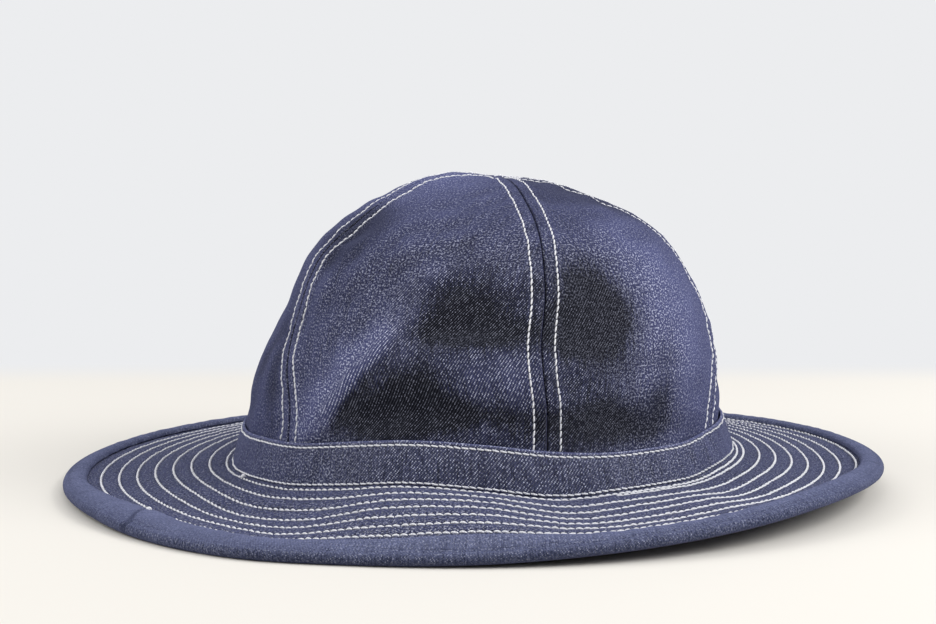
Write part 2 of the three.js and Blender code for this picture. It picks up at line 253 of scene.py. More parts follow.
# %% [markdown]
# ## The crown and the brim as surfaces
#
# `crown` and `brim` give points for arrays of places. A level runs from 0 at the gores' foot to 1 at the top,
# and a share from 0 at the opening to 1 at the brim's own edge. `raised` lifts a point off the plain surface.

# %% Crown and brim surfaces
ring_steps = np.hypot(
    np.diff(CROWN_RINGS["height"]) * CROWN_HEIGHT,
    np.diff(CROWN_RINGS["radius"]) * CROWN_RADIUS,
)
CROWN_ARC = ring_steps.sum()
RING_LEVELS = np.concatenate([[0], np.cumsum(ring_steps)]) / CROWN_ARC
BAND_TOP = (BAND_RISE + 2 * BAND_WALL) / CROWN_ARC
BRIM_SPAN = BRIM_EDGE - HEAD_RADIUS


def ring(column, level):
    """A column of the ring table at a level."""
    return curve(RING_LEVELS, CROWN_RINGS[column], level)


def seam_azimuth(name, level):
    return curve(SEAM_LEVELS, SEAMS[name], level)


def dips(table, azimuth, level):
    """Sum of a table's hollows, each a bell-shaped dip round its own place. All die out under the band."""
    total = 0
    for at, spread, height, reach, slant, depth in table:
        away = (azimuth - at - slant * (level - height) + 180) % 360 - 180
        total = total + depth * np.exp(-((away / spread) ** 2 + ((level - height) / reach) ** 2) / 2)
    return smooth(DENT_FADE[0] * BAND_TOP, DENT_FADE[1] * BAND_TOP, level) * total


def brim_column(name, azimuth):
    """A column of the brim table at an azimuth."""
    place = BRIM_COLUMNS.index(name)
    return round_curve({at: row[place] for at, row in BRIM_SECTIONS.items()}, azimuth)


def brim_height(azimuth, share):
    """Height of the brim's middle surface: a smooth section at each azimuth, never under rest."""
    knots = np.stack([brim_column(name, azimuth) for name in STATIONS], -1)
    places = np.clip(share, STATIONS["foot"], STATIONS["edge"])
    return STACK_HALF + BRIM_RISE * np.maximum(0, curve(list(STATIONS.values()), knots, places))


def brim_share(radius):
    return (radius - HEAD_RADIUS) / BRIM_SPAN


def brim_reach(azimuth, share):
    """Distance from the ring's middle: even steps out, less what the droop draws in near the edge."""
    droop = np.maximum(0, brim_column("droop", azimuth))
    return HEAD_RADIUS + share * BRIM_SPAN - droop * share**DROOP_POWER * (RIM_RADIUS - RIM_REACH)


def brim(azimuth, share, raised=0, out=0):
    """Points of the brim, raised square to its middle surface or moved outwards from it."""
    height = brim_height(azimuth, share)
    run = brim_reach(azimuth, share + BEND_SHARE) - brim_reach(azimuth, share - BEND_SHARE)
    rise = brim_height(azimuth, share + BEND_SHARE) - brim_height(azimuth, share - BEND_SHARE)
    slope = np.hypot(run, rise)
    reach = brim_reach(azimuth, share) + out - raised * rise / slope
    turn = np.radians(azimuth)
    x = CROWN_SHIFT * (1 - share) + reach * np.sin(turn)
    return np.stack(np.broadcast_arrays(x, -reach * np.cos(turn), height + raised * run / slope), -1)


def brim_top(azimuth, radius):
    return brim_height(azimuth, brim_share(radius)) + BRIM_WALL / 2


def crown(azimuth, level, raised=0):
    """Points of the crown: a ring at each level, moved by dents and by raised along the section's normal."""
    low, high = np.clip(level - NUDGE_SHARE, 0, 1), np.clip(level + NUDGE_SHARE, 0, 1)
    rise = (ring("height", high) - ring("height", low)) * CROWN_HEIGHT
    run = (ring("radius", high) - ring("radius", low)) * CROWN_RADIUS
    slope = np.hypot(rise, run)
    lift = raised - DENT_DEPTH * dips(CROWN_DENTS, azimuth, level)
    lift = lift - CREASE_DEPTH * dips(CREASES, azimuth, level)
    radius = ring("radius", level) * CROWN_RADIUS + lift * rise / slope
    foot = brim_top(azimuth, CROWN_RADIUS) + CLEARANCE
    settle = (1 - smooth(0, SETTLE_SHARE, level)) * (foot - FOOT_LEVEL)
    turn = np.radians(azimuth)
    x = CROWN_SHIFT + ring("right", level) * CROWN_RADIUS + radius * np.sin(turn)
    y = ring("back", level) * CROWN_RADIUS - radius * np.cos(turn)
    z = FOOT_LEVEL + ring("height", level) * CROWN_HEIGHT + settle - lift * run / slope
    return np.stack(np.broadcast_arrays(x, y, z), -1)


print("height of the crown's top, in mm:", round(float(crown(0, np.array(1.0))[2]), 1))

# %% [markdown]
# ## Meshes
#
# `tube` closes a grid both ways, like a ring with a cross-section. `shell` closes an outer and an inner grid
# along their shared border. Both carry the cloth's own coordinates (in metres, v along the warp) as a UV map
# and, as an attribute, how worn the cloth is together with the light and shade painted into its tone.


# %% Mesh builders
def make_piece(name, points, faces, coordinates=None, wear_and_shade=None):
    """A mesh object from points in mm, faces, and a UV pair in mm for every face corner."""
    mesh = bpy.data.meshes.new(name)
    mesh.from_pydata((np.asarray(points) * MM).tolist(), [], faces)
    if coordinates is not None:
        layer = mesh.uv_layers.new(name="Cloth")
        layer.data.foreach_set("uv", (np.asarray(coordinates) * MM).astype(np.float32).ravel())
    if wear_and_shade is not None:
        values = mesh.attributes.new("wear_and_shade", "FLOAT", "POINT").data
        values.foreach_set("value", np.ravel(wear_and_shade).astype(np.float32))
    mesh.shade_smooth()
    piece = bpy.data.objects.new(name, mesh)
    bpy.context.scene.collection.objects.link(piece)
    return piece


def corners(grid):
    """The four corners of every cell of a grid, in order round the cell."""
    around = np.stack([grid[:-1, :-1], grid[:-1, 1:], grid[1:, 1:], grid[1:, :-1]], 2)
    return around.reshape(-1, 4, *grid.shape[2:])


def tube(name, points, coordinates, wear_and_shade):
    """A ring: points[i, k] for step i round the hat and k round the cross-section, closed both ways.
    coordinates has one more row and column, for the seam where each way closes."""
    rows, columns = points.shape[:2]
    index = np.arange(rows * columns).reshape(rows, columns)
    index = np.pad(index, ((0, 1), (0, 1)), mode="wrap")
    return make_piece(
        name, points.reshape(-1, 3), corners(index).tolist(), corners(coordinates).reshape(-1, 2), wear_and_shade
    )


def shell(name, outer, inner, coordinates, wear_and_shade):
    """A closed sheet: the outer grid, and an inner one that shares its border."""
    rows, columns = outer.shape[:2]
    index = np.arange(rows * columns).reshape(rows, columns)
    under = index.copy()
    inside = under[1:-1, 1:-1]
    inside[:] = rows * columns + np.arange(inside.size).reshape(inside.shape)
    points = np.concatenate([outer.reshape(-1, 3), inner[1:-1, 1:-1].reshape(-1, 3)])
    faces = corners(index).tolist() + corners(under)[:, ::-1].tolist()
    pairs = corners(coordinates)
    shell_wear_and_shade = np.concatenate([wear_and_shade.ravel(), wear_and_shade[1:-1, 1:-1].ravel()])
    return make_piece(name, points, faces, np.concatenate([pairs, pairs[:, ::-1]]).reshape(-1, 2), shell_wear_and_shade)


# %% [markdown]
# ## Denim
#
# The weave is drawn from the cloth's coordinates: a cell for every crossing of warp and weft. One crossing in
# three shows the pale weft, a step further along in each row, which makes the dotted diagonals of twill.
# Real cells are about 0.3 mm. They are drawn a little larger, about as large as a pixel of the photo, and they
# differ in brightness as slubby yarns do. Where the cloth turns away they pass into a grain of specks. The
# raised warp hides some of those, so the cloth looks smoother there, and a painted sheen makes it paler.

# %% Material helpers
BUMP_STRENGTH = 0.5


def linear(hex_colour):
    """An sRGB hex colour as linear red, green, blue and alpha."""
    value = int(hex_colour.lstrip("#"), 16)
    parts = [(value >> shift & 255) / 255 for shift in (16, 8, 0)]
    return [c / 12.92 if c <= 0.04045 else ((c + 0.055) / 1.055) ** 2.4 for c in parts] + [1]


def plug(tree, socket, value):
    """Links a socket to another node's output, or sets it to a value."""
    if isinstance(value, bpy.types.NodeSocket):
        tree.links.new(value, socket)
    else:
        socket.default_value = value


def add(tree, kind, inputs=(), **settings):
    """A shader node. inputs maps a socket's name or number to a value or to another node's output."""
    node = tree.nodes.new("ShaderNode" + kind)
    for name, value in settings.items():
        setattr(node, name, value)
    for key, value in dict(inputs).items():
        plug(tree, node.inputs[key], value)
    return node


def math_node(tree, operation, a, b=0.0, c=0.0):
    return add(tree, "Math", {0: a, 1: b, 2: c}, operation=operation).outputs[0]


def ramp(tree, value, low, high, start=0.0, end=1.0):
    """A smooth ramp from start to end while value goes from low to high."""
    inputs = {0: value, 1: low, 2: high, 3: start, 4: end}
    return add(tree, "MapRange", inputs, interpolation_type="SMOOTHSTEP").outputs[0]


def between(tree, value, low, high):
    """low where value is 0 and high where it is 1."""
    return math_node(tree, "MULTIPLY_ADD", value, high - low, low)


def noise(tree, place, scale, detail, roughness=0.5):
    """Cloudy noise of about 0 to 1, with scale clouds to a unit of place."""
    inputs = {"Vector": place, "Scale": scale, "Detail": detail, "Roughness": roughness}
    return add(tree, "TexNoise", inputs).outputs[0]


def mix_colour(tree, factor, a, b):
    node = add(tree, "Mix", {"Factor": factor}, data_type="RGBA")
    plug(tree, node.inputs[6], a)
    plug(tree, node.inputs[7], b)
    return node.outputs[2]


def new_material(name):
    """A node material with one Principled shader: the material, its tree and the shader."""
    material = bpy.data.materials.new(name)
    material.use_nodes = True
    tree = material.node_tree
    tree.nodes.clear()
    output = add(tree, "OutputMaterial")
    shader = add(tree, "BsdfPrincipled")
    tree.links.new(shader.outputs[0], output.inputs[0])
    return material, tree, shader


# %% Weave
WARP_PITCH = 0.37  # mm
WEFT_PITCH = 0.5  # mm
TWILL = 3.0  # crossings in a repeat of the weave
DRIFT = 0.3  # mm that the yarns wander
DRIFT_SCALE = 100.0  # waves of that wandering in a metre
SPECK_RADII = (0.1, 0.4)  # squared radii, in crossings, between which a speck of weft fades out
SPECK_POWER = 2.0  # over 1, bright specks are rarer than dim ones
SPECK_RANGE = (0.15, 1.15)  # brightness of the dimmest and of the brightest speck


def weave(tree, cloth):
    """The twill over cloth coordinates in metres: how much weft shows at a point, the diagonal rib from 0
    to 1, and a random number for each crossing."""
    drift = add(tree, "TexNoise", {"Vector": cloth, "Scale": DRIFT_SCALE, "Detail": 1.0}).outputs["Color"]
    shift = add(tree, "VectorMath", {0: drift, 1: (0.5, 0.5, 0.5)}, operation="SUBTRACT").outputs[0]
    shift = add(tree, "VectorMath", {0: shift, "Scale": DRIFT * MM}, operation="SCALE").outputs[0]
    place = add(tree, "VectorMath", {0: cloth, 1: shift}, operation="ADD").outputs[0]
    parts = add(tree, "SeparateXYZ", {0: place})
    warp = math_node(tree, "DIVIDE", parts.outputs[0], WARP_PITCH * MM)
    pick = math_node(tree, "DIVIDE", parts.outputs[1], WEFT_PITCH * MM)
    warp_cell = math_node(tree, "FLOOR", warp)
    pick_cell = math_node(tree, "FLOOR", pick)
    step = math_node(tree, "SUBTRACT", warp_cell, pick_cell)
    step = math_node(tree, "FLOORED_MODULO", step, TWILL)
    shows = math_node(tree, "LESS_THAN", step, 0.5)
    across = math_node(tree, "SUBTRACT", math_node(tree, "FRACT", warp), 0.5)
    along = math_node(tree, "SUBTRACT", math_node(tree, "FRACT", pick), 0.5)
    away = math_node(tree, "MULTIPLY_ADD", across, across, math_node(tree, "MULTIPLY", along, along))
    disc = math_node(tree, "MULTIPLY", shows, ramp(tree, away, *SPECK_RADII, 1.0, 0.0))
    cell = add(tree, "CombineXYZ", {0: warp_cell, 1: pick_cell}).outputs[0]
    chance = add(tree, "TexWhiteNoise", {"Vector": cell}, noise_dimensions="2D").outputs["Value"]
    bright = between(tree, math_node(tree, "POWER", chance, SPECK_POWER), *SPECK_RANGE)
    angle = math_node(tree, "MULTIPLY", math_node(tree, "SUBTRACT", warp, pick), 2 * math.pi / TWILL)
    rib = math_node(tree, "MULTIPLY_ADD", math_node(tree, "COSINE", angle), 0.5, 0.5)
    return math_node(tree, "MULTIPLY", disc, bright), rib, chance


# %% Denim
YARN_SCALE = (2200.0, 70.0, 1.0)  # streaks of uneven warp in a metre, across and along it
BLOTCH_SCALE = 70.0  # patches of uneven dye in a metre
SLUB_SCALE = 1100.0  # short thick places of the yarn in a metre
GRAIN_SCALE = 1350.0  # specks in a metre where the cloth turns away and the weave is too fine to show
GRAIN_SPECKS = (0.47, 0.72)  # values of the noise between which a speck of the grain comes up
GRAIN_BRIGHTNESS = 0.75  # of its brightest specks
GRAIN_SLANTS = (0.06, 0.28)  # slants between which the grain takes over from the weave
GRAIN_SHARE = 0.9  # of all specks, once it has taken over
# The paling at a slant is a painted sheen, mixed into the cloth's colour.
PAINTED_SHEEN_SLANTS = (0.12, 0.75)  # slants between which the cloth pales
SPECKS_LOST = 0.6  # share of the specks that the raised warp hides at the greatest slant
PAINTED_SHEEN_BY_TONE = (0.5, 1.0)  # how much of that paling the darkest and the lightest cloth get
SHOWN_BY_TONE = (0.32, 1.27)  # how much the specks show in the darkest and in the lightest cloth
YARN_RELIEF = 0.5  # height of the warp's unevenness, as a share of the rib's
CLOTH_RELIEF = 0.15  # mm
CLOTH_FINISH = {
    "Roughness": 0.9,
    "Specular IOR Level": 0.12,
    "Sheen Weight": 0.18,
    "Sheen Roughness": 0.5,
    "Sheen Tint": linear("#9aa0d0"),
}
TONES = {
    # what changes the warp's tone: its weight, and the value that leaves the tone as it is
    "rib": (-0.2, 0),
    "yarn": (0.9, 0),
    "blotch": (0.5, 0.4),
    "crossing": (0.2, 0.5),
}


def tinge(tree, tone, value, weight, middle):
    """The tone plus weight times how far a value lies over its middle."""
    return math_node(tree, "ADD", tone, math_node(tree, "MULTIPLY_ADD", value, weight, -weight * middle))


def finish_shader(tree, shader, height, depth, values):
    """Gives a shader its bump from a height of depth in mm, and its plain values."""
    bump = add(tree, "Bump", {"Strength": BUMP_STRENGTH, "Distance": depth * MM, "Height": height})
    tree.links.new(bump.outputs[0], shader.inputs["Normal"])
    for name, value in values.items():
        shader.inputs[name].default_value = value


def denim(name, dark, light, painted_sheen_colour, weft, specks, painted_sheen_share, slubs):
    """Indigo twill: dark and light are the warp's colours seen face on, painted_sheen_colour the painted sheen
    it takes at a slant, and weft that of the yarn under it. specks says how strongly the weft shows,
    painted_sheen_share how far that painted sheen goes, and slubs how uneven the yarns are."""
    material, tree, shader = new_material(name)
    cloth = add(tree, "UVMap", uv_map="Cloth").outputs[0]
    dot, rib, chance = weave(tree, cloth)
    stretched = add(tree, "Mapping", {"Vector": cloth, "Scale": YARN_SCALE}).outputs[0]
    yarn = noise(tree, stretched, 1.0, 2.0)
    blotch = noise(tree, cloth, BLOTCH_SCALE, 5.0, 0.65)
    parts = dict(rib=rib, yarn=yarn, blotch=blotch, crossing=chance)
    # The tone starts from the piece's wear together with the light and shade painted into it.
    tone = add(tree, "Attribute", attribute_name="wear_and_shade").outputs["Fac"]
    tone = tinge(tree, tone, noise(tree, cloth, SLUB_SCALE, 2.0), slubs, 0.5)
    for part, (weight, middle) in TONES.items():
        tone = tinge(tree, tone, parts[part], weight, middle)
    tone = add(tree, "Clamp", {0: tone}).outputs[0]

    slant = add(tree, "LayerWeight", {"Blend": 0.5}).outputs["Facing"]
    # Painted sheen: the cloth's colour turns paler where it faces away.
    sloped = ramp(tree, slant, *PAINTED_SHEEN_SLANTS)
    painted_sheen = math_node(tree, "MULTIPLY", sloped, between(tree, tone, *PAINTED_SHEEN_BY_TONE))
    colour = mix_colour(tree, tone, linear(dark), linear(light))
    colour = mix_colour(tree, math_node(tree, "MULTIPLY", painted_sheen, painted_sheen_share), colour, linear(painted_sheen_colour))

    grain = ramp(tree, noise(tree, cloth, GRAIN_SCALE, 2.0), *GRAIN_SPECKS, 0.0, GRAIN_BRIGHTNESS)
    turned = ramp(tree, slant, *GRAIN_SLANTS, 0.0, GRAIN_SHARE)
    dot = add(tree, "Mix", {"Factor": turned, 2: dot, 3: grain}, data_type="FLOAT").outputs[0]
    shown = between(tree, sloped, specks, specks - SPECKS_LOST * specks)
    shown = math_node(tree, "MULTIPLY", shown, between(tree, tone, *SHOWN_BY_TONE))
    colour = mix_colour(tree, math_node(tree, "MULTIPLY", dot, shown), colour, linear(weft))
    tree.links.new(colour, shader.inputs["Base Color"])
    relief = math_node(tree, "MULTIPLY_ADD", yarn, YARN_RELIEF, math_node(tree, "SUBTRACT", dot, rib))
    finish_shader(tree, shader, relief, CLOTH_RELIEF, CLOTH_FINISH)
    return material


# %% Thread
TWIST_PITCH = 0.9  # mm from strand to strand along the thread
TWIST_SLANT = 0.8  # how far a strand runs along the thread for its way round it
# The stripes are painted shade in the grooves between the thread's twisted strands.
STRIPE_SHADE = 0.06  # mean share of the shade colour, which the stripes double or take away
THREAD_RELIEF = 0.1  # mm
THREAD_FINISH = {"Roughness": 0.6, "Sheen Weight": 1.0, "Sheen Roughness": 0.4}


def thread(name, colour, shade):
    """Twisted sewing thread: fine slanting stripes along the stitch, painted shade in the grooves between its
    strands.
    """
    material, tree, shader = new_material(name)
    parts = add(tree, "SeparateXYZ", {0: add(tree, "UVMap", uv_map="Cloth").outputs[0]})
    slant = math_node(tree, "MULTIPLY_ADD", parts.outputs[1], TWIST_SLANT, parts.outputs[0])
    stripe = math_node(tree, "SINE", math_node(tree, "MULTIPLY", slant, 2 * math.pi / (TWIST_PITCH * MM)))
    tone = math_node(tree, "MULTIPLY_ADD", stripe, STRIPE_SHADE, STRIPE_SHADE)
    tree.links.new(mix_colour(tree, tone, linear(colour), linear(shade)), shader.inputs["Base Color"])
    finish_shader(tree, shader, stripe, THREAD_RELIEF, THREAD_FINISH)
    return material


# %% The materials
COLUMNS = ("dark", "light", "painted_sheen_colour", "weft", "specks", "painted_sheen_share", "slubs")
DENIMS = {
    "crown denim": ("#03040d", "#41456d", "#444973", "#dfe3fc", 1.0, 0.5, 0.5),
    "band denim": ("#0d0f1a", "#52567a", "#4c5179", "#e6eaff", 1.0, 0.4, 1.0),
    "brim denim": ("#05060e", "#3c4167", "#414766", "#f0f2ff", 1.0, 0.2, 2.6),
    "hem denim": ("#242940", "#6c7294", "#606686", "#e4e8fa", 0.5, 0.25, 1.0),
}
crown_denim, band_denim, brim_denim, hem_denim = (
    denim(name, **dict(zip(COLUMNS, row))) for name, row in DENIMS.items()
)
white_thread = thread("white sewing thread", colour="#fbfbff", shade="#9a9fb4")
print("materials:", [material.name for material in bpy.data.materials])

# %% [markdown]
# ## Gores
#
# Beside each seam the cloth is three layers thick, so it stands a little proud out to the topstitching. It
# rolls into the seam, dips under each line of stitches and puckers between them. The indigo is paler on the
# ridges, where cloth rubs, and darker in the seams. Painted shade darkens it in the hollows and creases, and
# painted light makes it paler on the swells and the tops of small folds.

# %% Relief of the gores
TOPSTITCH = 5.0  # mm from the seam
ALLOWANCE = 0.4  # mm that the folded cloth stands proud
ALLOWANCE_END = (0.6, 2.2)  # mm past the topstitching between which it falls away
SEAM_DEPTH = 0.35  # mm
SEAM_WIDTH = 0.25  # mm
DIP_DEPTH = 0.3  # mm that a line of stitches pulls the cloth down
DIP_WIDTH = 0.7  # mm
CROWN_PUCKER = 0.14  # mm high
CROWN_PUCKER_WAVE = 5.0  # mm long
CROWN_PUCKER_WIDTH = 3.5  # mm, to each side of the stitches
FOLD_HEIGHT = 0.3  # mm
FOLD_WAVE = 16  # mm
FOLD_SEED = 40
TIP_FADE = 12  # mm from the top of the crown over which the relief dies out


def crown_folds(number, place, along):
    """Soft small folds of a gore, about 1 high."""
    return ripples(place, along, FOLD_WAVE, FOLD_SEED + number)


def crown_relief(number, place, width, along, radius):
    """Height in mm of the seam ridge, its groove, the dips under the stitches, the puckers and small folds,
    at a place in mm across the gore from its first seam."""
    distance = np.minimum(place, width - place)
    past = distance - TOPSTITCH
    ridge = ALLOWANCE * (1 - smooth(*ALLOWANCE_END, past))
    groove = SEAM_DEPTH * bell(distance, SEAM_WIDTH)
    pucker = ripples(along, distance, CROWN_PUCKER_WAVE, number) * bell(past, CROWN_PUCKER_WIDTH)
    loose = CROWN_PUCKER * pucker + FOLD_HEIGHT * crown_folds(number, place, along)
    relief = ridge - groove - DIP_DEPTH * bell(past, DIP_WIDTH) + loose * smooth(0, TOPSTITCH, distance)
    return relief * smooth(0, TIP_FADE, radius)


def gore_seams(number, level):
    """Azimuths of a gore's first and second seam, the second one always larger."""
    names = list(SEAMS)
    first, second = names[number - 1], names[number % len(names)]
    lap = 360 if SEAMS[second][0] < SEAMS[first][0] else 0
    return seam_azimuth(first, level), seam_azimuth(second, level) + lap


# %% Gores
GORE_COLUMNS = 27  # between the two fine strips beside the seams
GORE_ROWS = 151
STRIP_STEPS = 19
STRIP_SHARE = 0.16  # of the gore's width
STRIP_POWER = 1.15  # over 1, the finest steps lie at the seam
TIP_GAP = 0.5  # mm that the gores end short of the top
RUB = 0.12  # paler tone just past the stitches
RUB_PAST = 0.9  # mm
SEAM_SHADE = 0.3  # darker tone in the seam
SEAM_SHADE_WIDTH = 0.4  # mm
# HOLLOW_SHADE, CREASE_SHADE and FOLD_SHADE are painted shade in hollows, creases and fold troughs, and painted
# light on swells and fold tops.
HOLLOW_SHADE = 1.3  # darker tone for a dent of full depth
CREASE_SHADE = 0.9
FOLD_SHADE = 0.06


def gore_wear_and_shade(number, place, width, along, azimuth, level):
    """How worn the cloth is, with painted light and shade: paler beside the seams where it rubs, darker in the
    seams, painted shade in hollows and creases, and painted light on swells and fold tops.
    """
    sides = np.minimum(place, width - place)
    rubbed = RUB * bell(sides - TOPSTITCH - RUB_PAST, DIP_WIDTH) - SEAM_SHADE * bell(sides, SEAM_SHADE_WIDTH)
    painted_hollow_shade = HOLLOW_SHADE * dips(CROWN_DENTS, azimuth, level) + CREASE_SHADE * dips(CREASES, azimuth, level)
    return rubbed - painted_hollow_shade + FOLD_SHADE * crown_folds(number, place, along)


def gore(number):
    """One gore: a fine grid between two seams, closer set beside them."""
    strip = np.linspace(0, 1, STRIP_STEPS) ** STRIP_POWER * STRIP_SHARE
    middle = np.linspace(STRIP_SHARE, 1 - STRIP_SHARE, GORE_COLUMNS + 1)[1:-1]
    across = np.concatenate([strip, middle, 1 - strip[::-1]])
    level = np.linspace(0, 1 - TIP_GAP / CROWN_ARC, GORE_ROWS)[:, None]
    start, end = gore_seams(number, level)
    radius = ring("radius", level) * CROWN_RADIUS
    margin = np.degrees(CLEARANCE / 2 / np.maximum(radius, TIP_GAP))
    azimuth = start + margin + (end - start - 2 * margin) * across
    width = np.radians(end - start) * radius
    along = level * CROWN_ARC + 0 * across
    place = across * width
    outer = crown(azimuth, level, crown_relief(number, place, width, along, radius))
    inner = crown(azimuth, level, -GORE_WALL + 0 * azimuth)
    cloth = np.stack([place - width / 2, along], -1)
    wear_and_shade = gore_wear_and_shade(number, place, width, along, azimuth, level)
    piece = shell(f"crown_gore_{number}", outer, inner, cloth, wear_and_shade)
    return finish_piece(piece, crown_denim, f"gore_{number}")


def finish_piece(piece, material, node):
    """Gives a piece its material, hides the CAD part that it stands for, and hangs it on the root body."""
    piece.data.materials.append(material)
    if node:
        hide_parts(node)
    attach(piece, "root")
    print(piece.name, "triangles:", sum(len(face.vertices) - 2 for face in piece.data.polygons))
    return piece


for gore_number in range(1, len(SEAMS) + 1):
    gore(gore_number)

# %% [markdown]
# ## Rows of stitches on the brim
#
# A ring of stitches holds the band's foot. Outside it one more ring runs on the brim, and then a single row
# winds out in a spiral, a pitch further on each turn, until it slips under the hem. Places are shares of the
# brim's span.

# %% Rows
FIRST_ROW = 0.135
SPIRAL_START = 0.160
SPIRAL_AZIMUTH = 27
SPIRAL_STEP = 0.0993


def row_distance(azimuth, share):
    """Distance in mm from the nearest row of stitches on the brim."""
    turn = ((azimuth - SPIRAL_AZIMUTH) % 360) / 360
    steps = (share - SPIRAL_START) / SPIRAL_STEP - turn
    beside = np.abs(steps - np.maximum(np.round(steps), 0)) * SPIRAL_STEP
    return np.minimum(beside, np.abs(share - FIRST_ROW)) * BRIM_SPAN


def hem_share(azimuth):
    """Where the binding's free edge lies on the brim."""
    return 1 - round_curve(HEM_WIDTHS, azimuth)


# %% Relief of the brim
ROW_DEPTH = 0.45  # mm from a row of stitches to the fullest cloth between rows
ROW_HALF_WIDTH = 2.6  # mm from a row to that fullest cloth
ROW_POWER = 0.7  # under 1, the swell rises steeply beside the row
ROW_MIDDLE = 0.75  # share of that depth that lies under the plain surface
BRIM_PUCKER = 0.1  # mm high
BRIM_PUCKER_WAVE = 5.5  # mm
WARP_TURN = 0.35  # radians from the front to the brim's warp


def brim_relief(azimuth, share):
    """Height in mm of the quilting: cloth that swells between the rows, and small puckers across them."""
    away = row_distance(azimuth, share)
    along = np.radians(azimuth) * (HEAD_RADIUS + share * BRIM_SPAN)
    swell = np.sin(np.pi / 2 * np.clip(away / ROW_HALF_WIDTH, 0, 1)) ** ROW_POWER
    pucker = ripples(along, share * BRIM_SPAN, BRIM_PUCKER_WAVE, 5)
    return ROW_DEPTH * (swell - ROW_MIDDLE) + BRIM_PUCKER * pucker


def brim_cloth(azimuth, share):
    """Cloth coordinates of the brim: cut flat, so the weave runs straight across it."""
    turn = np.radians(azimuth) + WARP_TURN
    radius = HEAD_RADIUS + share * BRIM_SPAN
    return np.stack([radius * np.sin(turn), -radius * np.cos(turn)], -1)


# %% Brim
ROUND_STEPS = 720
TOP_STEPS = 99  # out to the hem
COVERED_STEPS = 5  # under the hem
BELOW_STEPS = 22
COVERED_START = 0.03  # share past the hem's edge where the covered rows start
TUCK = 0.02  # share that the quilting runs on under the hem
OPENING_FADE = 0.03  # share beside the opening over which the quilting rises
BETWEEN_ROWS = (0.5, 2.2)  # mm from a row between which the cloth gets paler
BETWEEN_TONE = 0.2

round_angles = np.arange(ROUND_STEPS)[:, None] * 360 / ROUND_STEPS
closed_angles = np.vstack([round_angles, [[360]]])


def build_brim():
    """The brim's ring: a fine top, a plain underside."""
    azimuth = round_angles
    hem = hem_share(azimuth)
    open_top = np.linspace(0, 1, TOP_STEPS) * (hem + TUCK)
    covered = hem + COVERED_START + (1 - COVERED_START - hem) * np.linspace(0, 1, COVERED_STEPS)
    below = np.linspace(1, 0, BELOW_STEPS) + 0 * azimuth
    share = np.concatenate([open_top, covered, below], 1)
    over = np.arange(share.shape[1]) < share.shape[1] - below.shape[1]
    relief = brim_relief(azimuth, share) * smooth(TUCK, 0, share - hem) * smooth(0, OPENING_FADE, share)
    raised = np.where(over, BRIM_WALL / 2 + relief, -BRIM_WALL / 2)
    points = brim(azimuth, share, raised)
    cloth = brim_cloth(closed_angles, np.pad(share, ((0, 1), (0, 1)), mode="wrap"))
    wear_and_shade = BETWEEN_TONE * smooth(*BETWEEN_ROWS, row_distance(azimuth, share)) * over
    piece = tube("stitched_brim", points[:, ::-1], cloth[:, ::-1], wear_and_shade[:, ::-1])
    return finish_piece(piece, brim_denim, "brim")


build_brim()

# %% [markdown]
# ## Band and hem
#
# Both are rings with a cross-section. The band's is a strip with rounded folds at its top and foot. The hem's
# is a sheet folded round the brim's edge.

# %% Band
BAND_STITCH_TOP = 0.9
BAND_STITCH_FOOT = 0.04
BAND_FULLNESS = 0.4  # mm that the band swells between its rows
BAND_PUCKER = 0.14  # mm high
BAND_PUCKER_WAVE = 6  # mm
BAND_PUCKER_STRETCH = 0.35  # under 1, the puckers stand upright
BAND_ENDS = (0.02, 0.97)  # heights, as shares, between the two folds
FOLD_OVER = 0.035  # share that the top fold stands over its end
BAND_STEPS = 34
FOLD_STEPS = 7
INNER_EVERY = 5  # the plain inner face takes one step for so many of the outer one
TOP_RUB = 0.6
FOOT_RUB = 0.4


def band_surface(azimuth, up, raised=0):
    """The band's outer face: leaning on the crown at its top (up 1) and flaring to its foot (up 0)."""
    turn = np.radians(azimuth)
    rise = up * brim_column("band", azimuth) * BAND_RISE
    base = crown(azimuth, rise / CROWN_ARC)
    out = BAND_CLEARANCE + BAND_FLARE * (1 - np.clip(up, 0, 1)) ** FLARE_POWER + BAND_WALL + raised
    foot = brim_top(azimuth, BAND_FOOT_RADIUS + BAND_WALL / 2) + CLEARANCE
    x = base[..., 0] + out * np.sin(turn)
    y = base[..., 1] - out * np.cos(turn)
    return np.stack(np.broadcast_arrays(x, y, foot + rise), -1)


def band_relief(azimuth, up):
    """Dips under the two rows of stitches, a fuller middle and slight upright puckers."""
    along = np.radians(azimuth) * CROWN_RADIUS
    rows = sum(bell((up - row) * BAND_RISE, DIP_WIDTH) for row in (BAND_STITCH_TOP, BAND_STITCH_FOOT))
    pucker = ripples(along, up * BAND_RISE * BAND_PUCKER_STRETCH, BAND_PUCKER_WAVE, 11)
    return BAND_FULLNESS * np.sin(np.pi * np.clip(up, 0, 1)) - DIP_DEPTH * rows + BAND_PUCKER * pucker


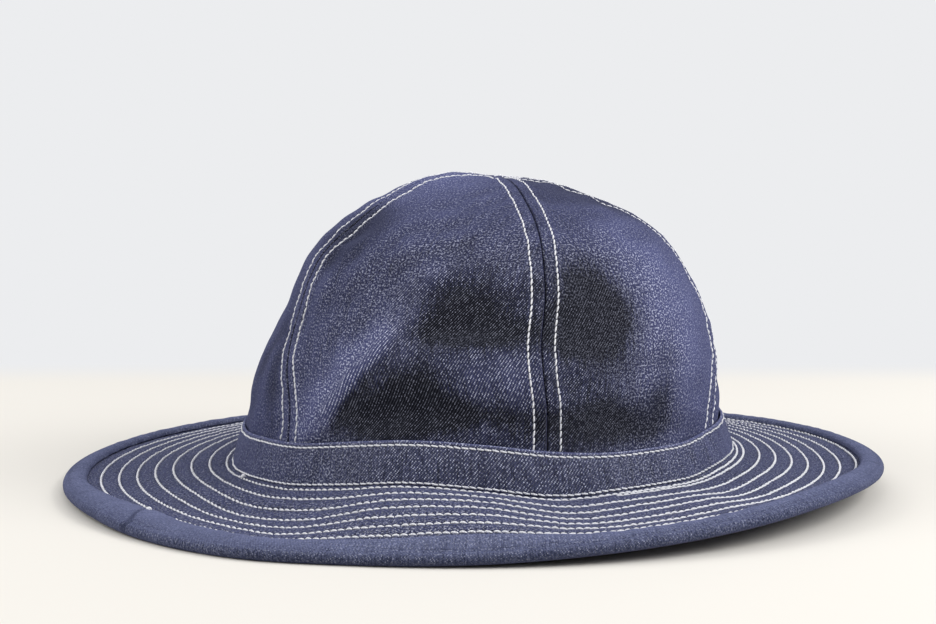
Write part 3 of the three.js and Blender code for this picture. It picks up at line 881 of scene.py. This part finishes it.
def build_band():
    """The band's ring: outer face, rounded folds at top and foot, plain inner face."""
    foot, top = BAND_ENDS
    face = np.linspace(foot, top, BAND_STEPS)
    inner = face[::-INNER_EVERY]
    fold = np.linspace(0, np.pi, FOLD_STEPS)[1:-1]
    up = np.concatenate([face, top + FOLD_OVER * np.sin(fold), inner, foot - foot * np.sin(fold)])
    depth = np.concatenate([0 * face, (1 - np.cos(fold)) / 2, 1 + 0 * inner, (1 + np.cos(fold)) / 2])
    raised = band_relief(round_angles, up) * (depth < 0.5) - depth * BAND_WALL
    points = band_surface(round_angles, up + 0 * round_angles, raised)
    around = np.radians(closed_angles) * CROWN_RADIUS
    cloth = np.stack(np.broadcast_arrays(around, np.append(up, up[0]) * BAND_RISE), -1)
    wear_and_shade = TOP_RUB * smooth(0.94, 1, up) + FOOT_RUB * smooth(0.06, 0, up) + 0 * round_angles
    piece = tube("flared_band", points, cloth, wear_and_shade)
    return finish_piece(piece, band_denim, "band")


build_band()

# %% Relief of the hem
JOIN_AZIMUTH = -54.5  # where the binding's two ends lap
JOIN_SLANT = 6  # degrees that the lap moves from the free edge to the nose
JOIN_HEIGHT = 0.6  # mm that the upper end stands over the lower one
JOIN_RISE = 0.8  # degrees over which it rises
JOIN_FALL = (9, 4)  # degrees between which the lower end runs out under it
JOIN_GROOVE = 0.35  # mm
JOIN_GROOVE_WIDTH = 0.5  # degrees
EDGE_ROLL = 0.16  # share of the binding's width over which its free edge rolls down
EDGE_DEPTH = 0.9  # mm that it rolls down
HEM_FULLNESS = 1.1  # mm
HEM_PUCKERS = (0.15, 0.08)  # mm high at the free edge and at the nose
HEM_PUCKER_WAVE = 6  # mm
HEM_PUCKER_STRETCH = 0.25  # under 1, the puckers run out from the middle
NOSE_FADE = 0.85  # share of the width from which the relief dies out


def join_distance(azimuth, spread):
    """Degrees past the slanting line where the binding's ends lap."""
    return ((azimuth - JOIN_AZIMUTH + 180) % 360 - 180) - JOIN_SLANT * spread


def hem_relief(azimuth, spread, width):
    """Height in mm of the roll at the free edge, a full middle, radial puckers and the lapped join."""
    roll = np.sqrt(np.clip(1 - (1 - np.minimum(spread / EDGE_ROLL, 1)) ** 2, 0, 1)) - 1
    along = np.radians(azimuth) * RIM_RADIUS
    pucker = ripples(along, spread * width * HEM_PUCKER_STRETCH, HEM_PUCKER_WAVE, 21)
    pucker = pucker * (HEM_PUCKERS[0] + (HEM_PUCKERS[1] - HEM_PUCKERS[0]) * spread)
    lap = join_distance(azimuth, spread)
    join = JOIN_HEIGHT * smooth(0, JOIN_RISE, lap) * smooth(*JOIN_FALL, lap)
    join = join - JOIN_GROOVE * bell(lap, JOIN_GROOVE_WIDTH)
    loose = (pucker + join) * smooth(1, NOSE_FADE, spread)
    return EDGE_DEPTH * roll + HEM_FULLNESS * np.sin(np.pi * spread) + loose


# %% Hem
HEM_STEPS = 26
NOSE_STEPS = 13
UNDER_STEPS = 9
JOIN_SHADE = 0.7
JOIN_SHADE_WIDTH = 0.4  # degrees
EDGE_TONE = 0.15  # at the free edge
LEG_TONE = -0.25  # change from there to the nose
# The nose and the underside carry painted shade, with painted light over the nose's middle.
NOSE_SHADE = -0.2
NOSE_LIGHT = 0.15  # how much paler the nose is over its middle, and darker under it
UNDER_SHADE = -0.4


def hem_wear_and_shade(azimuth, spread, turns):
    """Paler along the free edge, painted shade down the nose and underneath with painted light over the nose's
    middle, and dark in the join.
    """
    below = np.ones(UNDER_STEPS)
    slope = np.concatenate(
        [EDGE_TONE + LEG_TONE * spread**3, NOSE_SHADE + NOSE_LIGHT * np.sin(turns), UNDER_SHADE * below]
    )
    placed = np.concatenate([spread, 1 + 0 * turns, below])
    wear_and_shade = slope - JOIN_SHADE * bell(join_distance(azimuth, placed), JOIN_SHADE_WIDTH)
    return np.concatenate([wear_and_shade, wear_and_shade[:, ::-1]], 1)


def build_hem():
    """The binding: broad upper leg, rounded nose and lower leg, with the ends lapped at the front left."""
    azimuth = round_angles
    hem = hem_share(azimuth)
    spread = np.linspace(0, 1, HEM_STEPS)
    turns = np.linspace(np.pi / 2, -np.pi / 2, NOSE_STEPS)[1:-1]
    leg = hem + (1 - hem) * spread
    low = hem + (1 - hem) * np.linspace(1, 0, UNDER_STEPS)
    relief = hem_relief(azimuth, spread, (1 - hem) * BRIM_SPAN)
    faces = []
    for half, detail in ((STACK_HALF, 1), (STACK_HALF - BINDING_WALL, 0)):
        upper = brim(azimuth, leg, half + detail * relief)
        nose = brim(azimuth, 1 + 0 * turns, half * np.sin(turns), half * np.cos(turns))
        lower = brim(azimuth, low, -half)
        faces.append(np.concatenate([upper, nose, lower], 1))
    points = np.concatenate([faces[0], faces[1][:, ::-1]], 1)
    steps = np.linalg.norm(np.diff(points, axis=1, append=points[:, :1]), axis=-1)
    around = np.pad(np.cumsum(steps, 1), ((0, 0), (1, 0)))
    around = np.vstack([around, around[:1]])
    cloth = np.stack([np.radians(closed_angles) * RIM_RADIUS + 0 * around, around], -1)
    wear_and_shade = hem_wear_and_shade(azimuth, spread, turns)
    piece = tube("bound_hem", points[:, ::-1], cloth[:, ::-1], wear_and_shade[:, ::-1])
    return finish_piece(piece, hem_denim, "binding")


build_hem()

# %% [markdown]
# ## Stitches
#
# Every stitch is a short, slightly bent sausage of thread that dives into the cloth at both ends. A run of
# them is one array of rings, so thousands cost one calculation.

# %% Stitches
SIDES = 6
RINGS = 6
STITCH_SHARE = 0.9  # of the pitch that the thread shows
STITCH_SLANT = 0.22  # how far a stitch's ends lie aside of the row, as a share of its thickness
SLANT_SPREAD = 0.12  # most by which a stitch's slant differs from that
START = 0.01  # share of the pitch before the first stitch
START_SPREAD = 0.03  # most by which a stitch's start is off, as a share of the pitch
END_THICKNESS = 0.6  # thickness at the ends, as a share of that in the middle
STITCH_LIFT = 0.3  # height of a stitch's middle over its ends, as a share of its thickness
END_LIFT = 0.02  # height of its ends over the path, in the same way
TINY = 0.02  # keeps the first and last ring of a stitch from closing to a point
LOOK_AHEAD = 0.2  # mm before and after a point over which the run's heading is taken


def stitch_run(path, out, pitch, thickness, seed):
    """Points, faces and cloth coordinates of a run of stitches along a path of surface points in mm.
    A ring's centre lies on the path, raised by a half sine. Its radius follows the root of the same sine."""
    rng = np.random.default_rng(seed)
    place = np.concatenate([[0], np.cumsum(np.linalg.norm(np.diff(path, axis=0), axis=1))])
    count = max(1, int(place[-1] // pitch))
    length = place[-1] / count
    start = (np.arange(count) + START + rng.uniform(-START_SPREAD, START_SPREAD, count))[:, None] * length
    bow = np.sin(np.linspace(TINY, np.pi - TINY, RINGS))
    at = start + np.linspace(0, STITCH_SHARE, RINGS) * length

    def along(values, where):
        return np.stack([np.interp(where, place, values[:, k]) for k in range(3)], -1)

    centre = along(path, at)
    normal = along(out, at)
    normal /= np.linalg.norm(normal, axis=-1, keepdims=True)
    heading = along(path, at + LOOK_AHEAD) - along(path, at - LOOK_AHEAD)
    side = np.cross(heading, normal)
    side /= np.linalg.norm(side, axis=-1, keepdims=True)
    slant = STITCH_SLANT + rng.uniform(-SLANT_SPREAD, SLANT_SPREAD, (count, 1, 1))
    sway = slant * thickness * np.linspace(-1, 1, RINGS)[:, None]
    radius = thickness / 2 * (END_THICKNESS + (1 - END_THICKNESS) * bow**0.5)
    centre = centre + normal * (thickness * (STITCH_LIFT * bow + END_LIFT))[:, None] + side * sway
    angle = np.arange(SIDES) * 2 * np.pi / SIDES
    spokes = np.cos(angle)[:, None] * side[:, :, None] + np.sin(angle)[:, None] * normal[:, :, None]
    points = centre[:, :, None] + radius[:, None, None] * spokes
    index = np.arange(count * RINGS * SIDES).reshape(count, RINGS, SIDES)
    on = np.roll(index, -1, 2)
    quads = np.stack([index[:, :-1], on[:, :-1], on[:, 1:], index[:, 1:]], -1).reshape(-1, 4)
    caps = np.concatenate([index[:, 0, ::-1], index[:, -1]])
    around = np.broadcast_to(angle / 2 * thickness, points.shape[:3])
    cloth = np.stack([np.broadcast_to(at[..., None], around.shape), around], -1).reshape(-1, 2)
    return points.reshape(-1, 3), quads, caps, cloth


def join_runs(name, runs):
    """One thread piece from many runs."""
    points = np.concatenate([run[0] for run in runs])
    starts = np.cumsum([0] + [len(run[0]) for run in runs[:-1]])
    faces = []
    for start, run in zip(starts, runs):
        faces += (run[1] + start).tolist() + (run[2] + start).tolist()
    cloth = np.concatenate([run[3] for run in runs])
    loops = np.concatenate([np.asarray(face) for face in faces])
    return finish_piece(make_piece(name, points, faces, cloth[loops]), white_thread, None)


# %% Runs on the crown, the brim and the band
THREAD = 0.7  # mm thick
BRIM_THREAD = 0.9  # mm, as it looks where the brim's cloth pushes it up
CROWN_PITCH = 2.55  # mm from stitch to stitch
BRIM_PITCH = 2.8  # mm
BAND_PITCH = 2.7  # mm
HEM_STEP = 1.0  # mm that the last row climbs onto the binding's free edge
HEM_CLIMB = (-0.03, 0.01)  # shares before and past that edge between which it climbs
UNDER_BAND = 0.8  # share of the band's height at which the crown's stitches start, out of sight
TOP_GAP = 6  # mm before the top of the crown where they end
PATH_STEPS = 400  # along a seam
RING_STEPS = 1441  # round a closed row, both ends counted


def surface_run(surface, azimuth, place, height, pitch, thickness, seed):
    """A run of stitches along places of a surface(azimuth, place, raised), at a height in mm."""
    path = surface(azimuth, place, height)
    return stitch_run(path, surface(azimuth, place, height + 1) - path, pitch, thickness, seed)


def crown_run(number, side, seed):
    """A line of topstitching beside a gore's first seam (side 0) or second one (side 1), up from the band."""
    level = np.linspace(UNDER_BAND * BAND_RISE / CROWN_ARC, 1 - TOP_GAP / CROWN_ARC, PATH_STEPS)
    radius = ring("radius", level) * CROWN_RADIUS
    start, end = gore_seams(number, level)
    width = np.radians(end - start) * radius
    place = width - TOPSTITCH if side else 0 * width + TOPSTITCH
    azimuth = start + np.degrees(place / np.maximum(radius, TOPSTITCH))
    height = crown_relief(number, place, width, level * CROWN_ARC, radius)
    return surface_run(crown, azimuth, level, height, CROWN_PITCH, THREAD, seed)


def brim_surface(azimuth, share, raised):
    return brim(azimuth, share, BRIM_WALL / 2 + raised)


def brim_run(azimuth, share, seed):
    """A row of stitches on the brim."""
    onto_hem = HEM_STEP * smooth(*HEM_CLIMB, share - hem_share(azimuth))
    height = brim_relief(azimuth, share) + onto_hem
    return surface_run(brim_surface, azimuth, share, height, BRIM_PITCH, BRIM_THREAD, seed)


def band_run(up, seed):
    """A row of stitches round the band."""
    azimuth = np.linspace(0, 360, RING_STEPS)
    return surface_run(band_surface, azimuth, up, band_relief(azimuth, up), BAND_PITCH, THREAD, seed)


# %% Thread knots
KNOT_ANGLES = (0.3, 1.3, 2.4)  # radians, of its crossing stitches
KNOT_REACH = (0.55, 0.016)  # degrees round and share of the span out, from its middle to a stitch's end
KNOT_THREAD = 1.1  # mm
KNOT_PITCH = 2.0  # mm
KNOT_LIFTS = (0.5, 0.2)  # mm, of the first stitch, and from each to the next
BAND_KNOT_AZIMUTH = -62  # where the ring beside the band ends
HEM_KNOT_AZIMUTH = -52  # where the last row ends
HEM_KNOT_SHARE = 0.81
HEM_TOP = 0.4  # mm of the hem's fullness there


def knot(surface, azimuth, place, seed):
    """A thread knot: three thick stitches crossed over one spot of a surface(azimuth, place, raised)."""
    runs = []
    step = np.linspace(-1, 1, 9)
    for i, angle in enumerate(KNOT_ANGLES):
        turn = azimuth + KNOT_REACH[0] * step * math.cos(angle)
        share = place + KNOT_REACH[1] * step * math.sin(angle)
        lift = KNOT_LIFTS[0] + KNOT_LIFTS[1] * i
        runs.append(surface_run(surface, turn, share, lift, KNOT_PITCH, KNOT_THREAD, seed + i))
    return runs


def hem_surface(azimuth, share, raised):
    return brim(azimuth, share, STACK_HALF + HEM_TOP + raised)


# %% All the stitches
TURNS = 7.5  # of the spiral, more than show
ANGLE_STEP = 0.5  # degrees
SHORTEST = 20  # steps under which a stretch that comes out from the hem is left out
SLIP_UNDER = 0.01  # share past the hem's edge at which the spiral ends

seam_lines = [crown_run(number, side, 10 * number + side) for number in range(1, 7) for side in (0, 1)]
join_runs("crown_topstitching", seam_lines)
join_runs("band_stitching", [band_run(BAND_STITCH_TOP, 3), band_run(BAND_STITCH_FOOT, 4)])

turn_angles = np.arange(SPIRAL_AZIMUTH, SPIRAL_AZIMUTH + 360 * TURNS, ANGLE_STEP)
spiral = SPIRAL_START + SPIRAL_STEP * (turn_angles - SPIRAL_AZIMUTH) / 360
open_rows = np.flatnonzero(spiral < hem_share(turn_angles) + SLIP_UNDER)
breaks = np.flatnonzero(np.diff(open_rows) > 1) + 1
rows = [brim_run(np.linspace(0, 360, RING_STEPS), np.full(RING_STEPS, FIRST_ROW), 6)]
for i, part in enumerate(np.split(open_rows, breaks)):
    if len(part) > SHORTEST:
        rows.append(brim_run(turn_angles[part], spiral[part], 7 + i))
rows += knot(brim_surface, BAND_KNOT_AZIMUTH, FIRST_ROW, 50)
rows += knot(hem_surface, HEM_KNOT_AZIMUTH, HEM_KNOT_SHARE, 60)
join_runs("brim_stitching", rows)

# %% [markdown]
# ## Floor, light and camera
#
# A warm white table runs back to its far edge, where a plain grey wall begins. The light is soft, strongest
# from above and from the right.

# %% Floor
FLOOR_SIZE = 8.0  # metres
TABLE_EDGE = 0.29  # metres behind the hat's middle
EDGE_BLUR = (-0.05, 0.04)  # metres before and behind that edge over which the table fades
ROUND_FADE = (0.7, 1.5)  # metres past that distance between which it fades on all sides
WALL_GREY = "#ecedef"
TABLE_WHITE = "#e7e3db"
FLOOR_FINISH = {"Roughness": 0.9, "Specular IOR Level": 0.0, "Emission Color": linear(WALL_GREY)}


def build_floor():
    """The table, which fades at its far edge into a glow as grey as the wall."""
    bpy.ops.mesh.primitive_plane_add(size=FLOOR_SIZE)
    floor = bpy.context.object
    floor.name = "table"
    material, tree, shader = new_material("pale table")
    place = add(tree, "TexCoord").outputs["Object"]
    back = add(tree, "SeparateXYZ", {0: place}).outputs[1]
    away = add(tree, "VectorMath", {0: place}, operation="LENGTH").outputs["Value"]
    behind = ramp(tree, back, TABLE_EDGE + EDGE_BLUR[0], TABLE_EDGE + EDGE_BLUR[1])
    far = ramp(tree, away, TABLE_EDGE + ROUND_FADE[0], TABLE_EDGE + ROUND_FADE[1])
    beyond = math_node(tree, "MAXIMUM", behind, far)
    colour = mix_colour(tree, beyond, linear(TABLE_WHITE), linear("#000000"))
    tree.links.new(colour, shader.inputs["Base Color"])
    tree.links.new(beyond, shader.inputs["Emission Strength"])
    for name, value in FLOOR_FINISH.items():
        shader.inputs[name].default_value = value
    floor.data.materials.append(material)


build_floor()


# %% Light
SKY_WHITE = "#f6f7fa"
SOFTBOX_TARGET = (0, 0, 0.06)  # metres
SOFTBOXES = {
    # name: place and size in metres, power in watts
    "right softbox": ((1.0, -0.25, 0.75), 0.7, 10),
    "left softbox": ((-1.1, -0.15, 0.7), 0.8, 7),
}


def build_world():
    """The camera sees a plain grey wall. Everything else gets soft light, stronger from above and from +X."""
    world = bpy.data.worlds.new("studio")
    bpy.context.scene.world = world
    world.use_nodes = True
    tree = world.node_tree
    tree.nodes.clear()
    parts = add(tree, "SeparateXYZ", {0: add(tree, "TexCoord").outputs["Generated"]})
    above = ramp(tree, parts.outputs[2], 0.0, 0.9, 0.2, 1.0)
    right = ramp(tree, parts.outputs[0], -1.0, 1.0, 0.75, 1.2)
    front = ramp(tree, parts.outputs[1], -1.0, 0.0, 0.7, 1.0)
    strength = math_node(tree, "MULTIPLY", math_node(tree, "MULTIPLY", above, right), front)
    light = add(tree, "Background", {"Color": linear(SKY_WHITE), "Strength": strength}).outputs[0]
    wall = add(tree, "Background", {"Color": linear(WALL_GREY), "Strength": 1.0}).outputs[0]
    seen = add(tree, "LightPath").outputs["Is Camera Ray"]
    mixed = add(tree, "MixShader", {0: seen, 1: light, 2: wall}).outputs[0]
    add(tree, "OutputWorld", {0: mixed})


def softbox(name, place, size, power):
    """A square white area light at a place, aimed at the hat."""
    lamp = bpy.data.lights.new(name, "AREA")
    lamp.size = size
    lamp.energy = power
    holder = bpy.data.objects.new(name, lamp)
    holder.location = place
    holder.rotation_euler = Vector(np.subtract(SOFTBOX_TARGET, place)).to_track_quat("-Z", "Y").to_euler()
    bpy.context.scene.collection.objects.link(holder)


build_world()
for box_name, (place, size, power) in SOFTBOXES.items():
    softbox(box_name, place, size, power)

# %% Camera
CAMERA_DISTANCE = 700  # mm in front of the rim's middle
CAMERA_HEIGHT = 143.5  # mm over the table
CAMERA_SIDE = -2.2  # mm
CAMERA_DOWN = 6.28  # degrees
FOCAL_PIXELS = 1746  # in the photo's frame, which is 936 pixels wide
PHOTO_WIDTH = 936
SENSOR = 36  # mm

lens = bpy.data.cameras.new("camera")
lens.sensor_width = SENSOR
lens.lens = FOCAL_PIXELS / PHOTO_WIDTH * SENSOR
camera = bpy.data.objects.new("camera", lens)
camera.location = (CAMERA_SIDE * MM, -CAMERA_DISTANCE * MM, CAMERA_HEIGHT * MM)
camera.rotation_euler = (math.radians(90 - CAMERA_DOWN), 0, 0)
bpy.context.scene.collection.objects.link(camera)
bpy.context.scene.camera = camera
bpy.context.scene.view_settings.view_transform = "Standard"
print("lens in mm:", round(lens.lens, 1))
